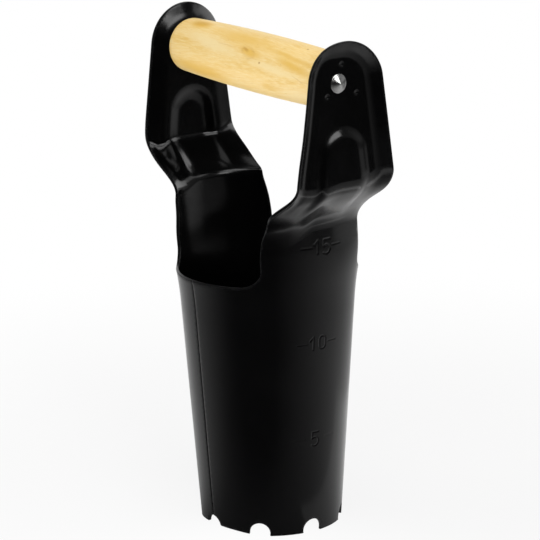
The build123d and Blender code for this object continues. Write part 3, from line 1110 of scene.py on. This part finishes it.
def bright_steel():
    """Bright upset steel: fine speckle, small dents and scuffed edges."""
    finish = settings().finish
    material, wires, shader, place = new_material("bright_rivet_steel")
    mottle = mottle_in(wires, place, 260.0, 0.5)
    worn = wear_in(wires, place, 900.0, 0.5)
    darker = tuple(0.82 * part for part in finish.steel)
    base = wires.mixed(mottle["Both"], finish.steel, darker)
    wires.feed(shader["Base Color"], wires.mixed(wires.times(worn, 0.4), base, finish.steel_worn))
    wires.feed(shader["Roughness"], wires.ranged(mottle["Both"], 0.0, 1.0, 0.16, 0.28))
    wires.feed(shader["Normal"], wires.bumped(mottle["Grain"], 0.05, 0.0001))
    shader["Metallic"].default_value = 1.0
    return material


# Operators, one for each piece and one for the stage

BORE_MARK, END_MARK, ROUND_MARK = 0.6, 0.8, 1.0
HANDLE_WEAR_REACH = 0.0025
END_POINTS, BARREL_POINTS = 7, 90
RIVET_SEGMENTS = 64
# Blunt head of the rivet from its tip outwards: share of the rise, share of the radius, nearness to its edge
HEAD_PROFILE = (
    (0.985, 0.0, 0.0),
    (0.97, 0.03, 0.0),
    (0.94, 0.065, 0.0),
    (0.904, 0.1, 0.0),
    (0.808, 0.2, 0.0),
    (0.616, 0.4, 0.0),
    (0.424, 0.6, 0.05),
    (0.28, 0.75, 0.1),
    (0.174, 0.86, 0.3),
    (0.14, 0.91, 0.5),
    (0.11, 0.95, 0.7),
    (0.07, 0.98, 0.9),
    (0.03, 1.0, 1.0),
    (0.0, 0.99, 1.0),
)
ROD_MARK = 0.5
BESIDE_ROD, ABOVE_FLAT = 1.2, 1e-6


class PLANTER_OT_blade(Operator):
    """Roll the toothed sheet, fold out its shoulders and ears, and paint it"""

    bl_idname = "planter.blade"
    bl_label = "Make blade"

    def execute(self, context):
        tube, ear = settings().tube, settings().ear
        near_points, near_faces, near_marks = sheet_half(1, tube, ear)
        far_points, far_faces, far_marks = sheet_half(-1, tube, ear)
        shift = len(near_points)
        faces = near_faces + [[at + shift for at in face] for face in far_faces]
        points = np.concatenate([near_points, far_points])
        points, faces, marks = welded(points, faces, np.concatenate([near_marks, far_marks]))
        points = np.clip(points, np.array(BLADE_LOW), np.array(BLADE_HIGH))
        new_piece("blade_sheet", points, faces, marks, black_paint(), "black_paint", "blade")
        return {"FINISHED"}


class PLANTER_OT_handle(Operator):
    """Turn the barrel-shaped wooden handle"""

    bl_idname = "planter.handle"
    bl_label = "Make handle"

    def execute(self, context):
        handle = settings().handle
        half, crown = handle.half_length, handle.middle_radius - handle.end_radius
        barrel = (half * half + crown * crown) / (2 * crown)
        centre = handle.middle_radius - barrel
        corner = handle.end_round
        straight = half - corner
        turns = np.linspace(0, math.pi / 2, END_POINTS)
        shoulder = handle.end_radius
        rounded = [(corner * math.cos(turn), shoulder - corner * (1 - math.sin(turn))) for turn in turns]
        profile = [(half, handle.bore), (half, shoulder - corner)]
        profile += [(straight + out, radius) for out, radius in rounded[1:]]
        marks = [BORE_MARK, END_MARK] + [ROUND_MARK] * len(rounded[1:])
        for x in np.linspace(straight, -straight, BARREL_POINTS)[1:-1]:
            profile.append((x, centre + math.sqrt(barrel * barrel - x * x)))
            marks.append(float(np.exp(-(straight - abs(x)) / HANDLE_WEAR_REACH)))
        profile += [(-straight - out, radius) for out, radius in reversed(rounded)] + [(-half, handle.bore)]
        marks += [ROUND_MARK] * len(rounded) + [BORE_MARK]
        mesh = turned(profile, marks, settings().segments, settings().ear.rod_height)
        piece = new_piece("handle_barrel", *mesh, pale_wood(), "pale_wood", "handle")
        piece.visible_glossy = False
        return {"FINISHED"}


class PLANTER_OT_rivet(Operator):
    """Form the rivet that runs through the handle, with a blunt head at each end"""

    bl_idname = "planter.rivet"
    bl_label = "Make rivet"

    def execute(self, context):
        rivet, ear = settings().rivet, settings().ear
        profile, marks = [], []
        edge = [mark for _, _, mark in HEAD_PROFILE] + [ROD_MARK]
        heads = ((1, rivet.head_radius, rivet.head_tip), (-1, rivet.set_radius, rivet.set_tip))
        for way, radius, tip in heads:
            rise_of_head = tip - ear.flat
            head = [(way * (ear.flat + rise_of_head * up), radius * out) for up, out, _ in HEAD_PROFILE]
            head.append((way * ear.flat, rivet.rod_radius))
            profile += head[::way]
            marks += edge[::way]
        points, faces, marks = turned(profile, marks, RIVET_SEGMENTS, ear.rod_height)
        out = np.hypot(points[:, 1], points[:, 2] - ear.rod_height)
        beside = (points[:, 0] > 0) & (out > BESIDE_ROD * rivet.rod_radius)
        on_head = (points[:, 0] > ear.flat + ABOVE_FLAT) | beside
        points[on_head, 1:] += (rivet.head_shift, rivet.head_lift)
        new_piece("rivet_rod", points, faces, marks, bright_steel(), "bright_steel", "handle_rivet")
        return {"FINISHED"}


# Stage

MIDDLE = (0, 0, 0.2)
SENSOR_WIDTH = 36.0
CAMERA_REACH = 20.0
FLOOR_HEIGHT = -0.0002
FLOOR_SEGMENTS, FLOOR_RINGS = 96, (0.02, 0.08, 0.2, 0.4, 1.0)
# Softboxes and cards: place, what they face, size, and share of the key or fill power
KEY_LAMPS = (
    ("key_softbox", (1.067, 0.15, 0.82), MIDDLE, (0.77, 0.4), 1.0),
    ("side_card", (-0.0275, 0.3, 0.32), (-0.0275, 0, 0.32), (0.225, 0.16), 0.046),
    ("side_card_end", (0.1275, 0.3, 0.4), (0.1275, 0, 0.4), (0.085, 0.14), 0.01),
    ("top_card", (0.532, 0.092, 0.981), (-0.05, 0.01, 0.172), (0.57, 0.32), 0.38),
    ("overhead_card", (0.07, -0.06, 1.18), (0.07, -0.06, 0), (0.25, 0.34), 0.044),
    ("overhead_end", (-0.24, 0.15, 1.18), (-0.24, 0.15, 0), (0.22, 0.5), 0.062),
    ("under_card", (0.0275, 0.1, 0.0005), (0.0275, 0.1, 1), (0.075, 0.2), 0.0026),
    ("behind_card", (-0.07, 0.12, 0.0005), (-0.07, 0.12, 1), (0.12, 0.16), 0.0037),
    ("floor_card", (0.212, 0.032, 0.04), (0.626, 0.464, 0.84), (0.42, 0.12), 0.031),
)
FILL_LAMPS = (
    ("front_fill", (1.2, -1.5, 0.5), MIDDLE, (1.6, 1.2), 2.05),
    ("top_fill", (-0.1, -0.2, 1.8), MIDDLE, (1.4, 1.4), 1.4),
    ("floor_bounce", (0, 0, 0.001), (0, 0, 1), (0.8, 0.8), 0.36),
)


def swung(first, second, turn):
    """Two directions at right angles, turned in their plane from the first towards the second."""
    cos_turn, sin_turn = math.cos(turn), math.sin(turn)
    return cos_turn * first + sin_turn * second, cos_turn * second - sin_turn * first


def add_camera(stage):
    """Camera at the photograph's angle."""
    cos_e, sin_e = math.cos(stage.elevation), math.sin(stage.elevation)
    back = Vector((math.sin(stage.azimuth) * cos_e, -math.cos(stage.azimuth) * cos_e, sin_e))
    right = Vector((math.cos(stage.azimuth), math.sin(stage.azimuth), 0))
    up = right.cross(-back)
    ahead, right = swung(-back, right, stage.yaw)
    ahead, up = swung(ahead, up, stage.pitch)
    right, up = swung(right, up, stage.roll)
    data = bpy.data.cameras.new("photo_camera")
    data.sensor_width = SENSOR_WIDTH
    data.lens = SENSOR_WIDTH * stage.focal_pixels / IMAGE_PIXELS
    data.clip_end = CAMERA_REACH
    camera = bpy.data.objects.new("photo_camera", data)
    place = Vector((0, 0, stage.target)) + stage.distance * back
    turn = Matrix((right, up, -ahead)).transposed().to_4x4()
    camera.matrix_world = Matrix.Translation(place) @ turn
    bpy.context.scene.collection.objects.link(camera)
    bpy.context.scene.camera = camera


def add_lamp(name, place, aim, size, power, glossy):
    """Softbox that looks from a place at an aim; only a glossy one shows in the paint."""
    data = bpy.data.lights.new(name, "AREA")
    data.shape = "RECTANGLE"
    data.size, data.size_y = size
    data.energy = power
    lamp = bpy.data.objects.new(name, data)
    lamp.location = place
    lamp.rotation_euler = (Vector(aim) - Vector(place)).to_track_quat("-Z", "Y").to_euler()
    lamp.visible_glossy = glossy
    lamp.visible_camera = False
    bpy.context.scene.collection.objects.link(lamp)


def ahead_of(wires, place, turn):
    """Part of a place or direction that points to a turn round the planter."""
    values = {0: place, 1: (math.sin(turn), -math.cos(turn), 0)}
    return wires.add("ShaderNodeVectorMath", values, operation="DOT_PRODUCT").outputs["Value"]


def mirrored_white(wires, rays, front, full):
    """1 where a mirror image shows the white behind the planter, 0 on its other sides."""
    mirrored = wires.most(rays["Is Glossy Ray"], rays["Is Transmission Ray"])
    return wires.times(mirrored, wires.ranged(front, -0.75, full, 0.0, 1.0, True))


def floor_mesh(radius):
    """Round floor in rings."""
    points, faces = [(0.0, 0.0, FLOOR_HEIGHT)], []
    for part in FLOOR_RINGS:
        for number in range(FLOOR_SEGMENTS):
            turn = 2 * math.pi * number / FLOOR_SEGMENTS
            points.append((radius * part * math.cos(turn), radius * part * math.sin(turn), FLOOR_HEIGHT))
    for number in range(FLOOR_SEGMENTS):
        after = (number + 1) % FLOOR_SEGMENTS
        faces.append((0, 1 + number, 1 + after))
        for ring in range(len(FLOOR_RINGS) - 1):
            inner, outer = 1 + ring * FLOOR_SEGMENTS, 1 + (ring + 1) * FLOOR_SEGMENTS
            faces.append((inner + number, outer + number, outer + after, inner + after))
    mesh = bpy.data.meshes.new("studio_floor")
    mesh.from_pydata(points, [], faces)
    return mesh


def pale_floor(stage):
    """Floor that is white to the camera, with a soft shadow near the planter; its grey, which lamps and
    mirror images see, carries painted shade and painted light.
    """
    material = bpy.data.materials.new("pale_floor")
    material.use_nodes = True
    tree = material.node_tree
    tree.nodes.remove(tree.nodes["Principled BSDF"])
    wires = Wiring(tree)
    place = wires.add("ShaderNodeTexCoord").outputs["Object"]
    reach = wires.distance(place)
    beyond = wires.plus(reach, 0.02)
    dark_turn = stage.azimuth - stage.dark_turn
    turns = (stage.azimuth, dark_turn, dark_turn - math.pi / 2)
    front, dark, left = (wires.math("DIVIDE", ahead_of(wires, place, turn), beyond) for turn in turns)
    # Painted shade: darkest before the planter and darker again towards the rim behind; painted light:
    # lighter at the camera's left
    grey = wires.ranged(dark, 0.85, -0.9, 0.02, 0.77)
    near = wires.times(wires.ranged(reach, 0.15, 0.5, 1.0, 0.0, True), grey)
    grey = wires.times(grey, wires.ranged(left, 0.5, 0.85, 1.0, 1.5, True))
    lost = wires.times(wires.ranged(reach, 0.35, 0.6, 0.0, 1.0), wires.ranged(front, -0.1, 0.3, 0.45, -0.1))
    grey = wires.times(grey, wires.minus(1.0, lost))
    diffuse = wires.add("ShaderNodeBsdfDiffuse", {"Color": grey}).outputs[0]
    white = wires.add("ShaderNodeEmission", {"Color": (1, 1, 1), "Strength": 1.0}).outputs[0]
    rays = wires.add("ShaderNodeLightPath").outputs
    shown = wires.times(rays["Is Camera Ray"], wires.ranged(near, 0.0, 0.9, 1.0, 0.78))
    part = wires.most(shown, mirrored_white(wires, rays, front, -1.0))
    both = wires.add("ShaderNodeMixShader", {0: part, 1: diffuse, 2: white}).outputs[0]
    wires.feed(tree.nodes["Material Output"].inputs["Surface"], both)
    return material


def add_floor(stage):
    """Pale round floor under the planter."""
    mesh = floor_mesh(stage.floor_radius)
    mesh.materials.append(pale_floor(stage))
    floor = bpy.data.objects.new("studio_floor", mesh)
    bpy.context.scene.collection.objects.link(floor)


def add_surroundings(stage):
    """White backdrop behind the planter and a dim room on the camera's side."""
    world = bpy.data.worlds.new("studio")
    world.use_nodes = True
    background = world.node_tree.nodes["Background"].inputs
    wires = Wiring(world.node_tree)
    way = wires.add("ShaderNodeTexCoord").outputs["Generated"]
    height = wires.split(way)[2]
    front = ahead_of(wires, way, stage.azimuth)
    dark = ahead_of(wires, way, stage.azimuth - stage.dark_turn)
    # Upper half of the room: lighter away from its dark side, dim overhead
    sky = wires.math("POWER", wires.ranged(dark, 0.75, -0.95, 0.01, 0.5), 1.4)
    sky = wires.times(sky, wires.ranged(height, 0.35, 0.7, 1.0, 0.06, True))
    # Lower half: paler towards the back, dim near the horizon, with a faint low patch on the dark side
    ground = wires.ranged(dark, -0.12, -0.35, 0.0, 0.47, True)
    ground = wires.times(ground, wires.ranged(dark, -0.5, -0.95, 1.0, 0.3))
    ground = wires.times(ground, wires.ranged(height, -0.22, -0.15, 1.0, 0.15, True))
    ground = wires.plus(ground, wires.ranged(dark, 0.8, 0.0, 0.002, 0.025))
    low_front = wires.ranged(dark, 0.8, 0.2, 0.0, 0.36)
    low_front = wires.times(low_front, wires.ranged(dark, 0.22, 0.42, 0.0, 1.0, True))
    low_front = wires.times(low_front, wires.ranged(height, -0.245, -0.225, 1.0, 0.0))
    ground = wires.plus(ground, low_front)
    above = wires.ranged(height, -0.06, 0.02, 0.0, 1.0)
    level = wires.plus(wires.times(wires.minus(sky, ground), above), ground)
    rays = wires.add("ShaderNodeLightPath").outputs
    seen = wires.most(rays["Is Camera Ray"], mirrored_white(wires, rays, front, -0.95))
    wires.feed(background["Color"], wires.most(level, seen))
    background["Strength"].default_value = 1.0
    bpy.context.scene.world = world


class PLANTER_OT_stage(Operator):
    """Set up the camera, the pale floor, the backdrop and the lamps"""

    bl_idname = "planter.stage"
    bl_label = "Make stage"

    def execute(self, context):
        stage = settings().stage
        add_camera(stage)
        add_floor(stage)
        add_surroundings(stage)
        for name, place, aim, size, part in KEY_LAMPS:
            add_lamp(name, place, aim, size, part * stage.key_power, True)
        for name, place, aim, size, part in FILL_LAMPS:
            add_lamp(name, place, aim, size, part * stage.fill_power, False)
        context.scene.view_settings.view_transform = "Standard"
        return {"FINISHED"}


class PLANTER_PT_sidebar(Panel):
    """Buttons for each piece of the planter and for its stage"""

    bl_idname = "PLANTER_PT_sidebar"
    bl_label = "Bulb planter"
    bl_space_type = "VIEW_3D"
    bl_region_type = "UI"
    bl_category = "Planter"

    def draw(self, context):
        for operator in OPERATORS:
            self.layout.operator(operator.bl_idname)
        for group in ("tube", "ear", "handle", "rivet", "finish", "stage"):
            box = self.layout.box()
            values = getattr(context.scene.planter, group)
            for name in values.__annotations__:
                box.prop(values, name)


OPERATORS = (PLANTER_OT_blade, PLANTER_OT_handle, PLANTER_OT_rivet, PLANTER_OT_stage)
GROUPS = (TubeSizes, EarSizes, HandleSizes, RivetSizes, Finishes, StageSizes, PlanterSettings)
CLASSES = (*GROUPS, *OPERATORS, PLANTER_PT_sidebar)


def register():
    """Register the classes and hang the settings on the scene."""
    for entry in CLASSES:
        bpy.utils.register_class(entry)
    bpy.types.Scene.planter = PointerProperty(type=PlanterSettings)


def unregister():
    """Take the settings and the classes away again."""
    del bpy.types.Scene.planter
    for entry in reversed(CLASSES):
        bpy.utils.unregister_class(entry)


def main():
    """Build every piece and the stage."""
    register()
    bpy.ops.planter.blade()
    bpy.ops.planter.handle()
    bpy.ops.planter.rivet()
    bpy.ops.planter.stage()


if __name__ == "__main__":
    main()
